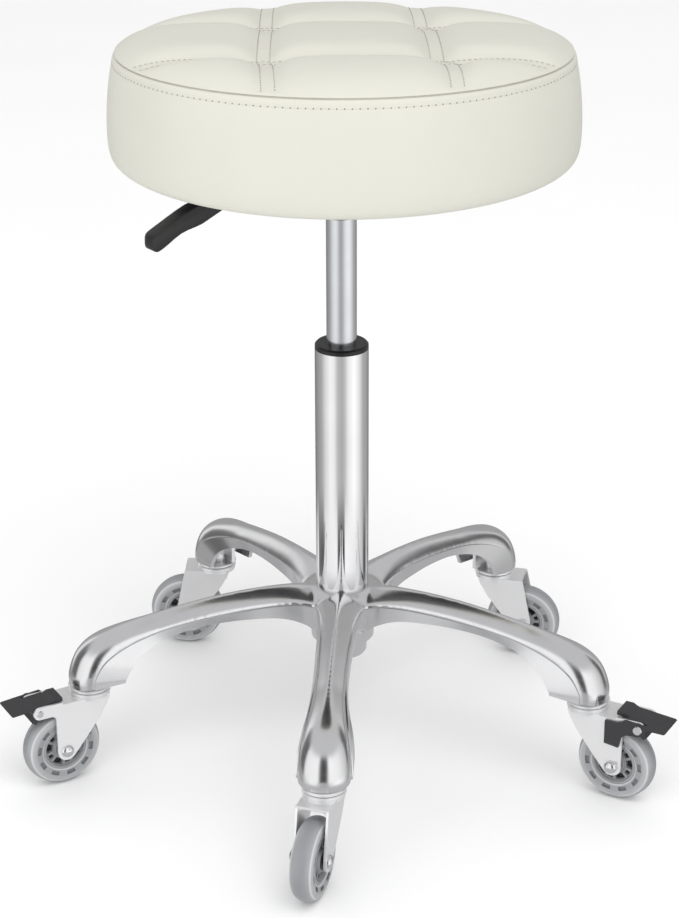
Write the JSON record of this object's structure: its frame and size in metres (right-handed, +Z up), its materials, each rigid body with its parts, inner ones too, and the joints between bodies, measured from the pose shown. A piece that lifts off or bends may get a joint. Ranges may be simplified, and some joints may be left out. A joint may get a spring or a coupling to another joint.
{
  "type": "rolling stylist stool",
  "caption": "Round upholstered rolling stool with gas lift column, side height lever, polished star base and swivel casters with brake pedals.",
  "frame": {"origin": "on the floor, under the centre of the footprint of the whole stool with its casters as stored", "axes": "+Z up along the lift column, -Y toward the front arm, +X to the right seen from the front"},
  "size_m": [0.6344, 0.5374, 0.7175],
  "materials": {
    "cast_aluminium": "polished",
    "chrome": "mirror polished",
    "satin_steel": "satin",
    "black_plastic": "fine grained matte",
    "bright_zinc": "bright zinc plate",
    "ball_steel": "ground",
    "piston_black": "matte",
    "valve_brass": "turned",
    "black_steel": "powder coat",
    "plywood": "sanded",
    "foam": "open cell foam",
    "upholstery": "smooth ivory leatherette",
    "dust_cloth": "nonwoven",
    "grey_tyre": "smooth translucent grey",
    "wheel_plastic": "moulded grey"
  },
  "bodies": {
    "base": {"base_star": "cast_aluminium", "outer_column": "chrome", "guide_bush": "black_plastic", "caster_stems": "bright_zinc", "grip_rings": "bright_zinc", "raceway_cups": "bright_zinc", "swivel_balls": "ball_steel", "retaining_clip": "bright_zinc"},
    "rod": {"piston_rod": "ball_steel", "piston": "piston_black", "thrust_bearing": "bright_zinc"},
    "seat": {"gas_cylinder": "satin_steel", "cylinder_guide": "piston_black", "valve_body": "valve_brass", "seat_plate": "black_steel", "taper_socket": "black_steel", "lever_bracket": "black_steel", "seat_board": "plywood", "seat_foam": "foam", "seat_top_cover": "upholstery", "seat_band": "upholstery", "dust_cover": "dust_cloth", "t_nuts": "bright_zinc", "seat_bolts": "black_steel", "bolt_washers": "bright_zinc"},
    "lever": {"lever_rod": "black_steel", "lever_paddle": "black_plastic"},
    "release_pin": {"release_pin": "bright_zinc"},
    "fork_front": {"fork_front": "bright_zinc", "axle_front": "bright_zinc"},
    "wheel_front": {"tyre_front": "grey_tyre", "core_front": "wheel_plastic", "bushes_front": "piston_black"},
    "fork_right": {"fork_right": "bright_zinc", "axle_right": "bright_zinc", "pedal_pin_right": "bright_zinc"},
    "wheel_right": {"tyre_right": "grey_tyre", "core_right": "wheel_plastic", "bushes_right": "piston_black"},
    "fork_rear_right": {"fork_rear_right": "bright_zinc", "axle_rear_right": "bright_zinc"},
    "wheel_rear_right": {"tyre_rear_right": "grey_tyre", "core_rear_right": "wheel_plastic", "bushes_rear_right": "piston_black"},
    "fork_rear_left": {"fork_rear_left": "bright_zinc", "axle_rear_left": "bright_zinc"},
    "wheel_rear_left": {"tyre_rear_left": "grey_tyre", "core_rear_left": "wheel_plastic", "bushes_rear_left": "piston_black"},
    "fork_left": {"fork_left": "bright_zinc", "axle_left": "bright_zinc", "pedal_pin_left": "bright_zinc"},
    "wheel_left": {"tyre_left": "grey_tyre", "core_left": "wheel_plastic", "bushes_left": "piston_black"},
    "pedal_right": {"pedal_right": "black_plastic"},
    "pedal_left": {"pedal_left": "black_plastic"}
  },
  "joints": [
    {"name": "seat_swivel", "type": "hinge", "parent": "base", "child": "rod", "pos_m": [-0.0005, 0.0475, 0.1], "axis": [0, 0, 1], "continuous": true},
    {"name": "seat_height", "type": "slide", "parent": "rod", "child": "seat", "axis": [0, 0, 1], "range_m": [-0.12, 0]},
    {"name": "lever_pull", "type": "hinge", "parent": "seat", "child": "lever", "pos_m": [-0.01687, 0.03281, 0.586], "axis": [-0.6678, 0.7443, 0], "range_deg": [0, 5], "stiffness_Nm_per_rad": 2, "springref_deg": -5.73},
    {"name": "release_pin_press", "type": "slide", "parent": "seat", "child": "release_pin", "axis": [0, 0, 1], "range_m": [-0.0025, 0]},
    {"name": "caster_front_swivel", "type": "hinge", "parent": "base", "child": "fork_front", "pos_m": [-0.0005, -0.2005, 0.09], "axis": [0, 0, 1], "continuous": true},
    {"name": "caster_front_roll", "type": "hinge", "parent": "fork_front", "child": "wheel_front", "pos_m": [-0.00878, -0.23141, 0.0381], "axis": [0.9659, -0.2588, 0], "continuous": true},
    {"name": "caster_right_swivel", "type": "hinge", "parent": "base", "child": "fork_right", "pos_m": [0.23536, -0.02914, 0.09], "axis": [0, 0, 1], "continuous": true},
    {"name": "caster_right_roll", "type": "hinge", "parent": "fork_right", "child": "wheel_right", "pos_m": [0.26436, -0.04266, 0.0381], "axis": [0.4226, 0.9063, 0], "continuous": true},
    {"name": "pedal_right_press", "type": "hinge", "parent": "fork_right", "child": "pedal_right", "pos_m": [0.28747, -0.05344, 0.0846], "axis": [0.4226, 0.9063, 0], "range_deg": [0, 14]},
    {"name": "caster_rear_right_swivel", "type": "hinge", "parent": "base", "child": "fork_rear_right", "pos_m": [0.14527, 0.24814, 0.09], "axis": [0, 0, 1], "continuous": true},
    {"name": "caster_rear_right_roll", "type": "hinge", "parent": "fork_rear_right", "child": "wheel_rear_right", "pos_m": [0.17678, 0.24258, 0.0381], "axis": [0.1736, 0.9848, 0], "continuous": true},
    {"name": "caster_rear_left_swivel", "type": "hinge", "parent": "base", "child": "fork_rear_left", "pos_m": [-0.14627, 0.24814, 0.09], "axis": [0, 0, 1], "continuous": true},
    {"name": "caster_rear_left_roll", "type": "hinge", "parent": "fork_rear_left", "child": "wheel_rear_left", "pos_m": [-0.17827, 0.24758, 0.0381], "axis": [0.0175, -0.9998, 0], "continuous": true},
    {"name": "caster_left_swivel", "type": "hinge", "parent": "base", "child": "fork_left", "pos_m": [-0.23636, -0.02914, 0.09], "axis": [0, 0, 1], "continuous": true},
    {"name": "caster_left_roll", "type": "hinge", "parent": "fork_left", "child": "wheel_left", "pos_m": [-0.2632, -0.04656, 0.0381], "axis": [0.5446, -0.8387, 0], "continuous": true},
    {"name": "pedal_left_press", "type": "hinge", "parent": "fork_left", "child": "pedal_left", "pos_m": [-0.28459, -0.06045, 0.0846], "axis": [0.5446, -0.8387, 0], "range_deg": [0, 14]}
  ],
  "couplings": [
    {"joint": "release_pin_press", "follows": "lever_pull", "m_per_rad": -0.027}
  ]
}
